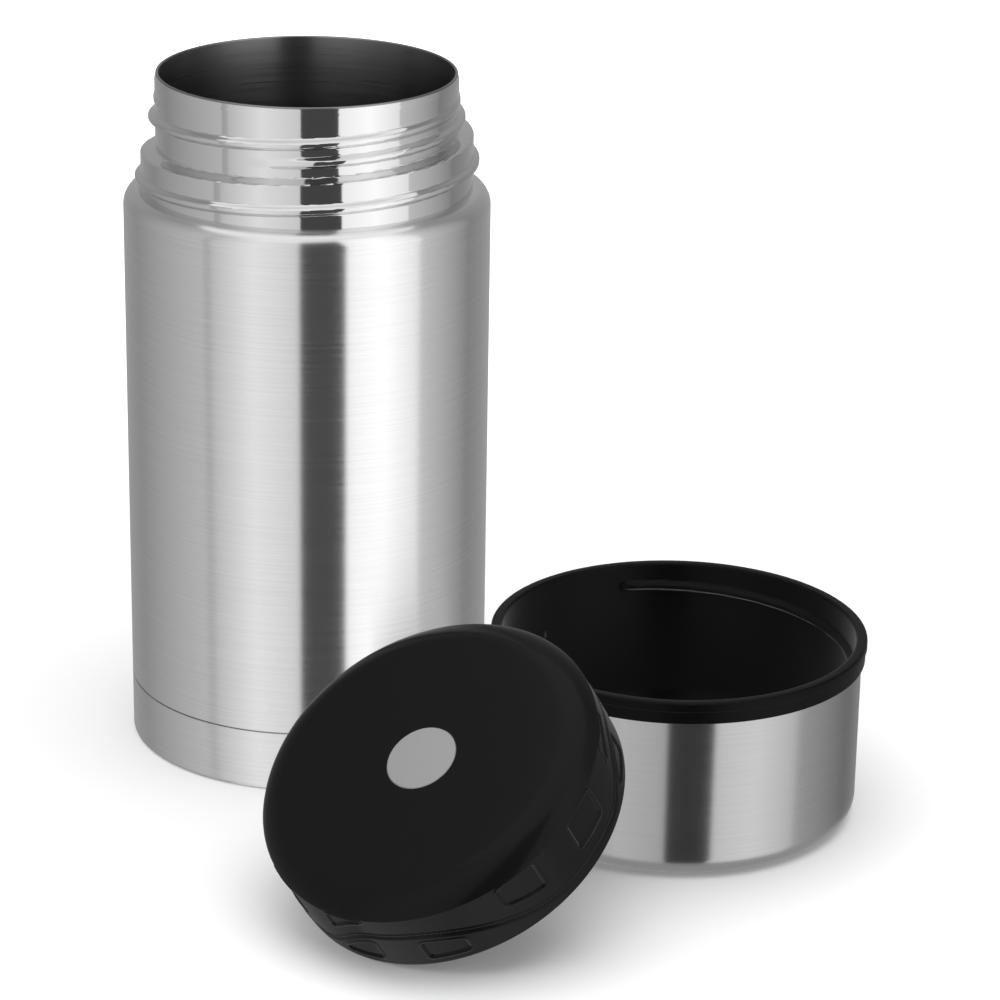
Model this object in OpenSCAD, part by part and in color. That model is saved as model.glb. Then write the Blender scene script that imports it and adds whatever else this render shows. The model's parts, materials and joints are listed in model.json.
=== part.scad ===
// Insulated food jar, shown taken apart: the open vacuum jar, its cup standing mouth up beside it,
// and the screw stopper leaning on the cup. Millimetres, +Z up, origin at the centre of the jar's base.

/* [Jar] */
// Height of the jar from the table to the top of its lip
jar_h = 199.7; // [150:0.1:260]
// Thickness of the steel sheet that the jar and the cup are drawn from
steel_t = 0.5; // [0.4:0.05:0.6]
// Inner radius of the mouth
mouth_r = 41.9; // [40:0.1:42.2]
// Height of the neck from the top of the shoulder to the lip
neck_h = 33.2; // [31:0.1:34]
// Height of the lip above the step between the neck's two diameters
neck_step = 23.5; // [23:0.1:24]
// Width of the step between the neck's two diameters
step_w = 4.3; // [3.8:0.1:4.8]
// Gap between the two steel walls inside the neck
neck_gap = 0.2; // [0.1:0.05:0.4]
// Radius of the rounded shoulder, which takes the lower part of the neck out to the body
shoulder_w = 5.1; // [4.6:0.1:8]
// Height of the base shell, up to its seam
base_h = 17.8; // [15:0.1:25]
// Width of the seam between the base shell and the body
seam_w = 0.3; // [0.2:0.05:0.5]
// Radius of the base shell's lower edge
base_round = 1.3; // [0.8:0.1:2]
// Width of the gap that holds the vacuum, beside the inner vessel
vacuum_gap = 5; // [3.5:0.1:6]
// Height of the inner vessel's floor above the table
vessel_floor = 14; // [13.6:0.1:18]

/* [Neck threads] */
// Rise of every thread in one turn
thread_lead = 10.4; // [9.5:0.1:11]
// Height of the two ridges at the top of the neck, for the stopper
neck_ridge = 1.9; // [1.5:0.1:2]
// Height of the ridge on the lower neck, for the cup
low_ridge = 1.7; // [1.4:0.1:1.9]
// Width of a ridge at its foot
ridge_w = 3.6; // [3:0.1:4]
// Bearing at which the first stopper ridge begins, from +X, in degrees
ridge_from = 70; // [66:1:80]
// Part of a turn that a stopper ridge takes, in degrees
ridge_turn = 330; // [290:1:340]
// Depth of the stopper ridges' lower ends below the lip
ridge_drop = 16.08; // [15.5:0.01:16.2]
// Bearing at which the cup ridge begins
low_ridge_from = 110; // [100:1:120]
// Part of a turn that the cup ridge takes
low_ridge_turn = 290; // [240:1:295]
// Depth of the cup ridge's lower end below the lip
low_ridge_drop = 32.42; // [32:0.01:32.8]
// Bearing at which the climbing ledge begins
ledge_from = 152; // [140:1:160]
// Part of a turn that the ledge takes
ledge_turn = 260; // [250:1:262]

/* [Cup] */
// Height of the cup
cup_h = 53.4; // [45:0.1:65]
// Distance from the jar's axis to the cup's axis, to the right
cup_x = 107.75; // [106:0.25:130]
// Distance from the jar's axis to the cup's axis, to the front
cup_front = 53.9; // [40:0.1:70]
// Play between the lower neck's ridge and the liner's wall
cup_play = 0.9; // [0.7:0.1:1.2]
// Thickness of the liner's wall
liner_t = 1.1; // [1:0.1:1.5]
// How far the lip stands out past the steel
rim_out = 1.4; // [1.1:0.1:1.8]
// Height of the black band round the top of the cup
band_h = 6.2; // [5.5:0.1:7]
// Height of the lip above the collar
lip_h = 2.4; // [2:0.1:3]
// Radius of the lip's rounded edges
rim_round = 0.8; // [0.5:0.1:1]
// Radius of the bend between the cup's wall and its base
cup_bend = 6.4; // [5:0.1:8]
// Height of the liner's floor above the table
liner_floor = 4; // [3.6:0.1:6]
// Draw-in of the liner's wall from its top to its floor
liner_draft = 1.5; // [0.5:0.1:2]
// Depth of the upper end of the liner's thread below the rim
liner_ridge_drop = 6.4; // [6:0.1:8]
// Bearing at which the liner's thread ends, at the back
liner_ridge_end = 108; // [90:1:120]
// Part of a turn that the liner's thread takes
liner_ridge_turn = 330; // [300:1:340]
// Width of the liner's thread
liner_ridge_w = 3.4; // [3:0.1:4]

/* [Stopper] */
// Height of the stopper
stopper_h = 26; // [25:0.1:28]
// Thickness of the stopper's skirt
skirt_t = 2.3; // [2:0.1:2.6]
// Play between the neck's ridges and the inside of the skirt
skirt_play = 0.6; // [0.5:0.1:0.8]
// Height of the rounded crown above the top of the skirt
crown_h = 5.4; // [4.8:0.1:6]
// How far the crown's curve reaches in from the skirt
crown_w = 9; // [7:0.1:11]
// Radius of the skirt's rounded lower edge
stopper_round = 0.8; // [0.5:0.1:1]
// Thickness of the stopper's top
top_t = 2.2; // [1.8:0.1:2.6]
// Height of the sealing face above the skirt's lower edge
seal_z = 18; // [17.5:0.1:18.5]
// Thickness of the main gasket
gasket_t = 2; // [1.5:0.1:2.2]
// Height of the plug's underside above the skirt's lower edge
plug_z = 4; // [3.5:0.1:6]
// Thickness of the plug's walls
plug_t = 1.2; // [1:0.1:1.4]
// Play between the plug and the mouth of the jar
plug_play = 0.7; // [0.5:0.1:1]
// Number of waves that the fine line round the skirt makes
waves = 3; // [2:1:4]
// Height of the line's low stretches above the skirt's lower edge
wave_low = 4.3; // [3.5:0.1:5]
// Height of its high stretches above the low ones
wave_h = 9.7; // [8:0.1:11]
// How far the fine line stands out
line_out = 0.25; // [0.15:0.05:0.25]
// Width of the shallow pockets, four to a wave
pocket_w = 11.7; // [8:0.1:13]
// Depth of a pocket
pocket_d = 0.35; // [0.2:0.05:0.5]
// Least height of the pockets above the line, from the line up
pocket_over = 5.2; // [4:0.1:6]
// Depth of the lower pockets' upper edge under the line
pocket_under = 3.7; // [3:0.1:4.5]
// Gap between the leaning stopper and the cup's rim
lean_gap = 0.4; // [0.3:0.05:0.6]
// Direction in which the stopper leans towards the cup, from +X
lean_dir = 48.2; // [40:0.1:56]

/* [Vent] */
// Radius of the vent button
button_r = 9.85; // [8.5:0.05:11]
// Travel of the vent button
button_travel = 2; // [1.2:0.1:2.4]
// Depth of the button's face below the top of the stopper
button_sink = 0.2; // [0:0.05:0.4]
// Running clearance of the button and its stem
run_gap = 0.1; // [0.05:0.01:0.15]
// Radius of the stem
stem_r = 1.8; // [1.5:0.1:2]
// Radius of the valve seal
seal_r = 5; // [4.5:0.1:6]
// Thickness of the valve seal
seal_t = 1.2; // [1:0.1:1.4]
// Diameter of the spring's wire
wire_d = 0.6; // [0.5:0.05:0.7]
// Turns of the spring
spring_turns = 4; // [3:0.5:4.5]

/* [Hidden] */
$fn = 96;
fit = 0.05;             // gap left where one piece is pressed or welded to the next
tiny = 0.01;

// Jar, heights measured down from the lip so that the neck keeps its shape
shoulder_top = jar_h - neck_h;
shoulder_z = shoulder_top - shoulder_w;
step_z = jar_h - neck_step;
neck_r = mouth_r + 2 * steel_t + neck_gap;
neck_low_r = neck_r + step_w;
body_r = neck_low_r + shoulder_w;
lip_round = 0.45;
lip_z = jar_h - lip_round;
lip_mid = mouth_r + lip_round - 0.03;
spigot_r = body_r - steel_t - fit;
spigot_z = 5;
vessel_r = body_r - steel_t - vacuum_gap - steel_t;
vessel_neck_z = jar_h - 37;
vessel_flare = 11;
vessel_bend = 6;
bottom_z = vessel_floor - steel_t - 2.5;
dimple_r = 6;
dimple_h = 1.5;
weld_z = vessel_floor + vessel_bend + 1;

// Cup
liner_r = neck_low_r + low_ridge + cup_play;
liner_gap = 0.2;
cup_r = liner_r + liner_t + liner_gap + steel_t;
rim_r = cup_r + rim_out;
collar_r = rim_r - 0.4;
collar_top = cup_h - lip_h - fit;
collar_z = cup_h - band_h;
shell_top = collar_top - 0.6;

// Stopper, in its own frame: its axis along Z, its lower edge at 0
skirt_r = neck_r + neck_ridge + skirt_play;
stopper_r = skirt_r + skirt_t;
skirt_top = stopper_h - crown_h;
crown_bend = (pow(crown_w, 2) + pow(crown_h, 2)) / (2 * crown_h);
ceiling = seal_z + gasket_t;
plug_r = mouth_r - plug_play;
plug_floor = plug_z + plug_t;
snap_r = plug_r - plug_t - fit;
snap_h = 6;
top_in = stopper_h - top_t;
well_r = button_r + run_gap;
well_out = well_r + 1.6;
well_floor = 18.2;
well_t = 1.2;
button_top = stopper_h - button_sink;
button_t = 1.6;
button_under = button_top - button_t;
button_skirt = well_floor + button_travel + 0.3;
stem_end = plug_z - seal_t - 1.5;
tube_r = 4;
vent_r = 3;
clip_z = plug_z - seal_t - 0.75;
spring_r = 5.6;
spring_low = well_floor + wire_d / 2 + fit;
spring_high = button_under - wire_d / 2 - fit;

// The stopper's raised edge rests over the cup's rim, its other edge on the table
contact = rim_round + stopper_round + lean_gap;
contact_rise = 64;
edge_r = stopper_r - stopper_round;
lean = asin((cup_h - rim_round + contact * sin(contact_rise) - stopper_round) / (2 * edge_r));
edge_far = rim_r - rim_round + contact * cos(contact_rise) + 2 * edge_r * cos(lean);

// Colours
steel = "silver";
inner_steel = "darkgray";
black = "#1c1c1e";
grey = "#9a9a9c";
copper = "#b87333";
silicone = "#3a3a3c";

module at_cup() {
    translate([cup_x, -cup_front, 0]) children();
}

module at_stopper() {
    at_cup() rotate([0, 0, lean_dir]) translate([-edge_far, 0, stopper_round]) rotate([0, -lean, 0])
        translate([edge_r, 0, -stopper_round]) children();
}

// A ring of rectangular section
module band(r_in, r_out, z0, z1) {
    rotate_extrude() translate([r_in, z0]) square([r_out - r_in, z1 - z0]);
}

// A rectangle against the axis, from z0 to z1
module block(r, z0, z1) {
    translate([0, z0]) square([r, z1 - z0]);
}

// Part of a circle, between two heights, used as a rounded edge
module edge(r, z, radius) {
    translate([r, z]) circle(radius);
}

// Points along part of a circle, from one angle to another
function arc(r, z, radius, from, to) = [for (i = [0 : 8])
    let (a = from + (to - from) * i / 8) [r + radius * cos(a), z + radius * sin(a)]];

// A solid swept through rings of points, each ring running anticlockwise where its path goes away
module sweep(rings) {
    n = len(rings[0]);
    last = (len(rings) - 1) * n;
    sides = [for (i = [0 : n : last - 1], j = [0 : n - 1])
        let (p = i + j, q = i + (j + 1) % n)
        each [[p, q, q + n], [p, q + n, p + n]]];
    ends = [for (j = [1 : n - 2]) each [[0, j + 1, j], [last, last + j, last + j + 1]]];
    polyhedron([for (r = rings) each r], concat(sides, ends), convexity = 6);
}

// One thread ridge on a round wall: side 1 stands out from it, side -1 stands in from it.
// Its middle starts at angle a0 and height z0, climbs one lead a turn, and fades in and out.
RIDGE = [[-1, -0.3], [-0.62, 0.55], [-0.25, 1], [0.25, 1], [0.62, 0.55], [1, -0.3]];
module ridge(wall, side, tall, wide, a0, z0, turn, fade_in, fade_out) {
    steps = ceil(turn / 7.5);
    sweep([for (i = [0 : steps])
        let (a = turn * i / steps, f = max(0, min(1, a / fade_in, (turn - a) / fade_out)),
            z = z0 + thread_lead * a / 360)
        [for (p = RIDGE) let (r = wall + side * (p[1] > 0 ? p[1] * tall * f - 0.1 * (1 - f) : p[1]))
            [r * cos(a0 + a), r * sin(a0 + a), z + side * p[0] * wide / 2]]]);
}

// The step of the neck, whose top climbs with the threads from angle a0
module ledge(a0, turn, fade) {
    steps = ceil(turn / 7.5);
    sweep([for (i = [0 : steps])
        let (a = turn * i / steps, r = neck_r + (neck_low_r - 0.06 - neck_r) * min(1, (turn - a) / fade + 0.1),
            low = step_z - 0.35, top = step_z - 0.1 + thread_lead * a / 360)
        [for (p = [[neck_r - 0.2, low], [r, low], [r, top - 0.2], [r - 0.4, top], [neck_r - 0.2, top]])
            [p[0] * cos(a0 + a), p[0] * sin(a0 + a), p[1]]]]);
}

// Filled outline of the outer shell, set in by t
module shell_outline(t) {
    block(body_r - t, base_h + seam_w + t, shoulder_z);
    edge(neck_low_r, shoulder_z, shoulder_w - t);
    block(spigot_r - t, t > 0 ? spigot_z - 1 : spigot_z, base_h + seam_w + t + tiny);
    block(neck_low_r - t, shoulder_z, step_z - t);
    block(neck_r - t, step_z - 1 - t, jar_h - 2.2);
    polygon([[0, jar_h - 2.3], [neck_r - t, jar_h - 2.3], [neck_r - t, jar_h - 2.2],
        [neck_r - 0.3 - t, lip_z - fit + (t > 0 ? 1 : 0)], [0, lip_z - fit + (t > 0 ? 1 : 0)]]);
}

module outer_shell() {
    ridge_in = 40;
    ridge_out = 70;
    low_ridge_fade = 30;
    ledge_fade = 12;
    color(steel) {
        rotate_extrude() difference() {
            shell_outline(0);
            shell_outline(steel_t);
        }
        // Two ridges, half a turn apart, take the stopper
        for (k = [0 : 1])
            ridge(neck_r, 1, neck_ridge, ridge_w, ridge_from + 180 * k, jar_h - ridge_drop, ridge_turn,
                ridge_in, ridge_out);
        ledge(ledge_from, ledge_turn, ledge_fade);
        // One ridge takes the cup
        ridge(neck_low_r, 1, low_ridge, ridge_w, low_ridge_from, jar_h - low_ridge_drop, low_ridge_turn,
            low_ridge_fade, low_ridge_fade);
    }
}

module inner_vessel() {
    neck = mouth_r + steel_t;
    body = vessel_r + steel_t;
    flare = 0.2;
    color(inner_steel) rotate_extrude() {
        polygon([[vessel_r, weld_z], [body, weld_z], [body, vessel_neck_z - vessel_flare], [neck, vessel_neck_z],
            [neck, lip_z], [mouth_r, lip_z], [mouth_r, vessel_neck_z - flare],
            [vessel_r, vessel_neck_z - vessel_flare - flare]]);
        edge(lip_mid, lip_z, lip_round);
    }
}

// Pressed bottom, welded to the inner vessel's wall
module inner_bottom() {
    out_r = vessel_r + steel_t;
    low = vessel_floor - steel_t;
    bend_r = out_r - vessel_bend;
    bend_z = low + vessel_bend;
    color(inner_steel) rotate_extrude() polygon(concat([[0, low]], arc(bend_r, bend_z, vessel_bend, -90, 0),
        [[out_r, weld_z - fit], [vessel_r, weld_z - fit]], arc(bend_r, bend_z, vessel_bend - steel_t, 0, -90),
        [[0, vessel_floor]]));
}

// Copper foil wrapped round the inner vessel
module heat_shield() {
    foil_t = 0.2;
    foil_r = vessel_r + steel_t + 2 * fit;
    color(copper) band(foil_r, foil_r + foil_t, weld_z + 5, vessel_neck_z - 2 * vessel_flare);
}

// Dished plate that closes the vacuum, with the pump-out hole in its dimple
module vacuum_bottom() {
    plate_r = spigot_r - steel_t - fit;
    hole_r = 0.8;
    color(inner_steel) {
        band(plate_r - steel_t, plate_r, spigot_z, bottom_z);
        band(dimple_r, plate_r, bottom_z - steel_t, bottom_z);
        band(dimple_r - steel_t, dimple_r, bottom_z - steel_t, bottom_z + dimple_h);
        band(hole_r, dimple_r, bottom_z + dimple_h - steel_t, bottom_z + dimple_h);
    }
}

// Solder that plugs the pump-out hole
module seal_bead() {
    bead_r = dimple_r - steel_t - 1.5;
    dome_r = bead_r * 1.6;
    color(grey) translate([0, 0, bottom_z + dimple_h - steel_t - fit]) intersection() {
        translate([0, 0, -dimple_h]) cylinder(r = bead_r, h = dimple_h);
        translate([0, 0, dome_r - dimple_h]) sphere(dome_r);
    }
}

// Pressed tablet in a steel ring that soaks up stray gas in the vacuum
module getter() {
    getter_r = 7;
    ring_t = 0.8;
    ring_h = 1.6;
    tablet_h = 1.2;
    color(inner_steel) translate([vessel_r / 2, 0, bottom_z + fit]) {
        cylinder(r = getter_r - ring_t + tiny, h = tablet_h);
        difference() {
            cylinder(r = getter_r, h = ring_h);
            translate([0, 0, -1]) cylinder(r = getter_r - ring_t, h = ring_h + 2);
        }
    }
}

// Filled outline of a cup with a rounded lower edge, set in by t
module cup_outline(r, low, high, bend, t) {
    difference() {
        block(r - t, low + t, high);
        translate([r - bend, low]) square(bend);
    }
    edge(r - bend, low + bend, bend - t);
}

module base_shell() {
    color(steel) rotate_extrude() difference() {
        cup_outline(body_r, 0, base_h, base_round, 0);
        cup_outline(body_r, 0, base_h + 1, base_round, steel_t);
    }
}

module cup_shell() {
    dish_r = cup_r - cup_bend - 5;
    dish_h = 0.8;
    color(steel) at_cup() rotate_extrude() {
        difference() {
            cup_outline(cup_r, 0, shell_top, cup_bend, 0);
            cup_outline(cup_r, 0, shell_top + 1, cup_bend, steel_t);
            block(dish_r + steel_t / 2, -1, steel_t + 1);
        }
        translate([dish_r, 0]) square([steel_t, dish_h + steel_t]);
        block(dish_r + steel_t, dish_h, dish_h + steel_t);
    }
}

// Wall of the liner as a filled outline, set in by t
module liner_outline(t) {
    bend = 12;
    low_r = liner_r - liner_draft;
    low = liner_floor - liner_t;
    low_z = low + bend;
    block(low_r - bend + liner_t, low + t, low_z);
    edge(low_r - bend + liner_t, low_z, bend - t);
    polygon([[0, low_z], [low_r + liner_t - t, low_z], [liner_r + liner_t - t, collar_z],
        [liner_r + liner_t - t, cup_h - rim_round], [0, cup_h - rim_round]]);
}

module cup_liner() {
    stopper_play = 0.3;
    ridge_cut = 8;
    color(black) at_cup() {
        rotate_extrude() {
            difference() {
                union() {
                    liner_outline(0);
                    block(rim_r, cup_h - lip_h, cup_h - rim_round);
                    block(rim_r - rim_round, cup_h - lip_h, cup_h);
                    edge(rim_r - rim_round, cup_h - rim_round, rim_round);
                }
                liner_outline(liner_t);
                block(liner_r + rim_round, cup_h - rim_round - tiny, cup_h + 1);
            }
            edge(liner_r + rim_round, cup_h - rim_round, rim_round);
        }
        // The thread ends square at the back of the cup and runs down to the right
        ridge(liner_r, -1, liner_r - stopper_r - stopper_play, liner_ridge_w, liner_ridge_end - liner_ridge_turn,
            cup_h - liner_ridge_drop - thread_lead * liner_ridge_turn / 360, liner_ridge_turn,
            ridge_cut, ridge_cut);
    }
}

// Black ring that covers the steel's edge under the liner's lip
module cup_collar() {
    color(black) at_cup() rotate_extrude() difference() {
        union() {
            translate([cup_r + fit, collar_z]) square([collar_r - cup_r - fit, collar_top - collar_z]);
            translate([liner_r + liner_t + fit, shell_top + fit])
                square([collar_r - liner_r - liner_t - fit, collar_top - shell_top - fit]);
        }
        translate([collar_r - 0.2, collar_top - 0.3]) square(1);
    }
}

// Height of the fine line at angle a: in each wave it rises, stays high, falls and stays low
WAVE_FROM = 168;
function smooth(x) = let (t = max(0, min(1, x))) t * t * (3 - 2 * t);
function line_z(a) = let (rise = 0.22, high = 0.1, fall = 0.45, wave = 360 / waves,
        p = ((a - WAVE_FROM) % wave + wave) % wave / wave)
    wave_low + wave_h * smooth(p / rise) * (1 - smooth((p - rise - high) / fall));

// One wave of the fine line, from the middle of a low stretch
module skirt_line(a0) {
    steps = 24;
    turn = 360 / waves - 0.4;
    foot = 0.35;
    crest = 0.15;
    sweep([for (i = [0 : steps])
        let (a = a0 + turn * i / steps, z = line_z(a))
        [for (p = [[-line_out, -foot], [line_out, -crest], [line_out, crest], [-line_out, foot]])
            [(stopper_r + p[0]) * cos(a), (stopper_r + p[0]) * sin(a), z + p[1]]]]);
}

// Shallow pocket in the skirt at angle a, with a height for each end of its lower and upper edges
module pocket(a, low, high) {
    side = pocket_w / 2;
    corner = 1.2;
    intersection() {
        rotate([0, 0, a]) rotate([90, 0, 90]) linear_extrude(stopper_r + 2)
            offset(r = corner, $fn = 24) offset(delta = -corner)
                polygon([[-side, low[0]], [side, low[1]], [side, high[1]], [-side, high[0]]]);
        band(stopper_r - pocket_d, stopper_r + 1, 0, stopper_h);
    }
}

// The pockets of all waves: the line leaves room for three above it and two below it in each wave
module pockets() {
    top = skirt_top - 0.9;
    bottom = stopper_round + 2.4;
    first = WAVE_FROM + 19;
    half = asin(pocket_w / 2 / stopper_r);
    for (k = [0 : 4 * waves - 1])
        let (a = first + 90 / waves * k, line = [line_z(a - half), line_z(a + half)]) {
            if (k % 4 != 1)
                pocket(a, line + [pocket_over, pocket_over], [top, top]);
            if (k % 4 < 2)
                pocket(a, [bottom, bottom], line - [pocket_under, pocket_under]);
        }
}

module cap_outline() {
    polygon(concat([[0, 0]], arc(edge_r, stopper_round, stopper_round, -90, 0),
        arc(stopper_r - crown_w, stopper_h - crown_bend, crown_bend, asin(1 - crown_h / crown_bend), 90),
        [[0, stopper_h]]));
}

module stopper_cap() {
    snap_t = 1.6;
    neck_play = 0.5;
    skirt_ridge_z = 4.2;
    skirt_ridge_turn = 200;
    skirt_ridge_fade = 30;
    color(black) at_stopper() {
        difference() {
            rotate_extrude() difference() {
                cap_outline();
                // Hollow for the neck, outside the plug
                block(skirt_r, -1, ceiling);
                // Hollow over the plug, between its snap ring and the button's well
                difference() {
                    block(snap_r - snap_t, ceiling - 1, top_in);
                    block(well_out, ceiling - 2, top_in + 1);
                }
                block(well_r, well_floor, stopper_h + 1);
                block(stem_r + run_gap, ceiling - 2, stopper_h);
            }
            pockets();
        }
        for (k = [0 : waves - 1])
            skirt_line(WAVE_FROM - 14 + 360 / waves * k);
        // Snap ring for the plug, and the well's floor and wall below the ceiling
        band(snap_r - snap_t, snap_r, ceiling - snap_h, ceiling + tiny);
        difference() {
            band(stem_r + run_gap, well_out, well_floor - well_t, well_floor);
            // Air holes
            for (k = [0 : 3])
                rotate([0, 0, 90 * k + 45]) translate([stem_r + 1.4, 0, 0])
                    cylinder(r = 0.5, h = stopper_h, $fn = 24);
        }
        band(well_r, well_out, well_floor - tiny, ceiling + tiny);
        // Threads that take the neck's two ridges
        for (k = [0 : 1])
            ridge(skirt_r, -1, skirt_r - neck_r - neck_play, ridge_w - neck_play, 180 * k, skirt_ridge_z,
                skirt_ridge_turn, skirt_ridge_fade, skirt_ridge_fade);
    }
}

module plug_shell() {
    bend = 3;
    color(black) at_stopper() {
        rotate_extrude() difference() {
            union() {
                cup_outline(plug_r, plug_z, ceiling - fit, bend, 0);
                // Bead that keeps the gasket up
                translate([plug_r - tiny, seal_z - 1]) square([0.4, 0.9]);
            }
            difference() {
                cup_outline(plug_r, plug_z, ceiling, bend, plug_t);
                block(tube_r + plug_t, plug_z, well_floor - well_t - fit);
            }
            block(tube_r, plug_floor, ceiling);
            block(vent_r, plug_z - 1, ceiling);
        }
    }
}

// Foam that fills the plug
module plug_foam() {
    gap = 0.3;
    color("ivory") at_stopper() rotate_extrude() difference() {
        union() {
            cup_outline(plug_r - plug_t - gap, plug_floor + gap, ceiling - snap_h - gap, 2, 0);
            block(snap_r - 1.6 - gap, ceiling - snap_h - 1, top_in - gap);
        }
        block(tube_r + plug_t + gap, 0, stopper_h);
        block(well_out + gap, well_floor - well_t - gap, stopper_h);
    }
}

// Silicone ring that seals on the jar's lip
module main_gasket() {
    color(silicone) at_stopper() difference() {
        band(plug_r + fit, skirt_r - 0.3, seal_z, ceiling - fit);
        band(plug_r + 2.6, plug_r + 3.2, seal_z - 1, seal_z + 0.6);
    }
}

module vent_button() {
    boss_r = stem_r + 1.4;
    color(grey) at_stopper() rotate_extrude() difference() {
        union() {
            block(button_r, button_under, button_top - 0.3);
            block(button_r - 0.3, button_under, button_top);
            edge(button_r - 0.3, button_top - 0.3, 0.3);
            translate([button_r - 1.2, button_skirt]) square([1.2, button_under - button_skirt + tiny]);
            block(boss_r, button_skirt, button_under + tiny);
        }
        block(stem_r + fit, button_skirt - 1, button_under);
    }
}

// Stem from the button down through the plug, with a flange above the seal and a groove for the clip
module valve_stem() {
    flange_r = vent_r - 0.3;
    color(silicone) at_stopper() {
        difference() {
            translate([0, 0, stem_end]) cylinder(r = stem_r, h = button_under - fit - stem_end);
            band(stem_r - 0.5, stem_r + 1, clip_z, clip_z + 0.6);
        }
        band(stem_r - tiny, flange_r, plug_z + fit, plug_z + 0.9);
    }
}

// Coil spring under the button: one tube, wound with closer turns at both ends
CURL_RINGS = 12;
function coil_height(t) = let (flat = 0.5 / spring_turns, share = 0.12)
    t < flat ? share * t / flat
    : t > 1 - flat ? 1 - share * (1 - t) / flat
    : share + (1 - 2 * share) * (t - flat) / (1 - 2 * flat);
function coil_point(t) = [spring_r * cos(360 * spring_turns * t), spring_r * sin(360 * spring_turns * t),
    spring_low + (spring_high - spring_low) * coil_height(t)];
coil_steps = ceil(spring_turns * CURL_RINGS);
coil_rise = [for (i = [0 : coil_steps - CURL_RINGS])
    norm(coil_point((i + CURL_RINGS) / coil_steps) - coil_point(i / coil_steps)) - wire_d];

module button_spring() {
    color(steel) at_stopper() sweep([for (i = [0 : coil_steps])
        let (t = i / coil_steps, a = 360 * spring_turns * t, c = coil_point(t))
        [for (b = [0 : 60 : 300]) c + wire_d / 2 * [cos(b) * cos(a), cos(b) * sin(a), sin(b)]]]);
}

// Silicone disc that closes the vent hole from below
module valve_seal() {
    color(silicone) at_stopper() band(stem_r + fit, seal_r, plug_z - seal_t - fit, plug_z - fit);
}

// Clip in the stem's groove that holds the seal up
module stem_clip() {
    color(steel) at_stopper() difference() {
        band(stem_r - 0.45, stem_r + 1.3, clip_z + fit, clip_z + 0.55);
        rotate([0, 0, 180]) translate([0, -1.2, 0]) cube([stem_r + 2, 2.4, stopper_h]);
    }
}

echo(least_gap_between_curls = min(coil_rise));

outer_shell();
inner_vessel();
inner_bottom();
heat_shield();
vacuum_bottom();
getter();
seal_bead();
base_shell();
cup_shell();
cup_liner();
cup_collar();
stopper_cap();
plug_shell();
plug_foam();
main_gasket();
vent_button();
valve_stem();
button_spring();
valve_seal();
stem_clip();
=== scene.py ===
"""Insulated food jar, shown taken apart: the open steel jar, its lined cup, and the screw stopper.

The stopper leans over the cup's rim. Outlines are in millimetres, as (radius, height) points; the
helpers turn them into metres.
"""
import json
from math import acos, asin, atan2, cos, degrees, radians, sin, tau

import bmesh
import bpy
from mathutils import Matrix, Vector


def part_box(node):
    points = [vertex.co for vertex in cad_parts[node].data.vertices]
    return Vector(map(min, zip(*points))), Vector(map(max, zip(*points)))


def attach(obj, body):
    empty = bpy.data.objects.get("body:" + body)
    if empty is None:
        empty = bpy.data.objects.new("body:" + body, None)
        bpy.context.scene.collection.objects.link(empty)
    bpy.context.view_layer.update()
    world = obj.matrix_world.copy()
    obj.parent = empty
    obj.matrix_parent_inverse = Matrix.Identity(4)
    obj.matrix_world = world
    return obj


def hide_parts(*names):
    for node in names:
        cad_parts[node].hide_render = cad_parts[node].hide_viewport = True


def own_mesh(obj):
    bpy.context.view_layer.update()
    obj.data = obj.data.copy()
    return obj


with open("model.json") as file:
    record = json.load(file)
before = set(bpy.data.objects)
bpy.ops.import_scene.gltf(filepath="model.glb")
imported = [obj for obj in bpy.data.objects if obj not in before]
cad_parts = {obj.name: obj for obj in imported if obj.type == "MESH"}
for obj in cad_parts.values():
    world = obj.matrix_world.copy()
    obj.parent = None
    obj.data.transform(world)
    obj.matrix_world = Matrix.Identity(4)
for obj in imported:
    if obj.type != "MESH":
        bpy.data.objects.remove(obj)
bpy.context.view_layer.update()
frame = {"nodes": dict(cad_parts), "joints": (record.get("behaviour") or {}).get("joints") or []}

# ---- Camera: a long lens from the front, as the photograph was taken ----
# It stands a metre in front of the jar and 445 mm up. It looks down at about 20 degrees and is
# turned by one degree round its line of sight.
camera_place = (0.05655, -1.00063, 0.44501)
camera_pitch = 69.508
camera_roll = 0.965
camera = bpy.data.objects.new("camera", bpy.data.cameras.new("camera"))
camera.data.sensor_width = 36
camera.data.lens = 130.37
camera.data.clip_end = 50
camera.matrix_world = (Matrix.Translation(camera_place)
    @ Matrix.Rotation(radians(camera_pitch), 4, "X") @ Matrix.Rotation(radians(camera_roll), 4, "Z"))
bpy.context.scene.collection.objects.link(camera)
bpy.context.scene.camera = camera
bpy.context.scene.view_settings.view_transform = "Standard"


# ---- Studio: a white sweep, a large soft light overhead and one at the left, and cards ----
# The cards stand round the set and show only in reflections, as the black and grey boards of a
# product studio do: they draw the upright bands in the brushed steel.
def new_material(name):
    """A material with an empty tree; returns it, its tree and its output."""
    material = bpy.data.materials.new(name)
    material.use_nodes = True
    tree = material.node_tree
    tree.nodes.clear()
    return material, tree, tree.nodes.new("ShaderNodeOutputMaterial")


def feed(tree, node, inputs):
    """Gives a node its inputs in their order; each is a number or another node's output."""
    for socket, given in zip(node.inputs, inputs):
        if isinstance(given, bpy.types.NodeSocket):
            tree.links.new(given, socket)
        else:
            socket.default_value = given


def value(tree, operation, *inputs):
    """One math node; an input is a number or another node's output."""
    node = tree.nodes.new("ShaderNodeMath")
    node.operation = operation
    feed(tree, node, inputs)
    return node.outputs[0]


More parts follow.
